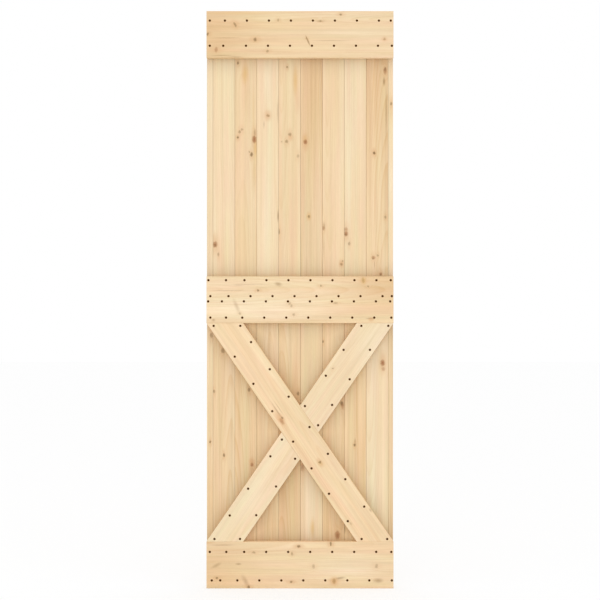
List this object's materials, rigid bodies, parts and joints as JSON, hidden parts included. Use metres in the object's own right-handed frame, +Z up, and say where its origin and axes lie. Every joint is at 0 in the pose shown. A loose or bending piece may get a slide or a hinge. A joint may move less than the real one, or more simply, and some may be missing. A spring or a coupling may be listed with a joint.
{
  "type": "barn door leaf",
  "caption": "Ledged and braced sliding barn door leaf: matched vertical pine boards under cross rails, with a cross of braces in the lower half, fixed with dark countersunk screws.",
  "frame": {"origin": "bottom centre of the leaf, halfway through its thickness, on the plane where the rails lie against the boards", "axes": "+X to the right seen from the front, +Y from the front to the back, +Z up"},
  "size_m": [0.68, 0.04, 2.1],
  "materials": {
    "pale_pine": "planed, clear matt",
    "cream_pine": "planed, clear matt",
    "honey_pine": "planed, clear matt",
    "tan_pine": "planed, clear matt",
    "rail_pine": "planed, clear matt",
    "brace_pine": "planed, clear matt",
    "screw_steel": "dark bronzed"
  },
  "bodies": {
    "root": {"upper_board_1": "pale_pine", "upper_board_2": "pale_pine", "upper_board_3": "cream_pine", "upper_board_4": "pale_pine", "upper_board_5": "cream_pine", "upper_board_6": "tan_pine", "upper_board_7": "cream_pine", "upper_board_8": "pale_pine", "upper_board_9": "tan_pine", "upper_board_10": "pale_pine", "lower_board_1": "honey_pine", "lower_board_2": "honey_pine", "lower_board_3": "cream_pine", "lower_board_4": "tan_pine", "lower_board_5": "honey_pine", "lower_board_6": "cream_pine", "lower_board_7": "tan_pine", "lower_board_8": "cream_pine", "lower_board_9": "cream_pine", "lower_board_10": "honey_pine", "top_rail": "rail_pine", "middle_rail": "rail_pine", "bottom_rail": "rail_pine", "long_brace": "brace_pine", "upper_short_brace": "brace_pine", "lower_short_brace": "brace_pine", "top_rail_screws": "screw_steel", "middle_rail_screws": "screw_steel", "bottom_rail_screws": "screw_steel", "long_brace_screws": "screw_steel", "upper_short_brace_screws": "screw_steel", "lower_short_brace_screws": "screw_steel"}
  },
  "joints": []
}
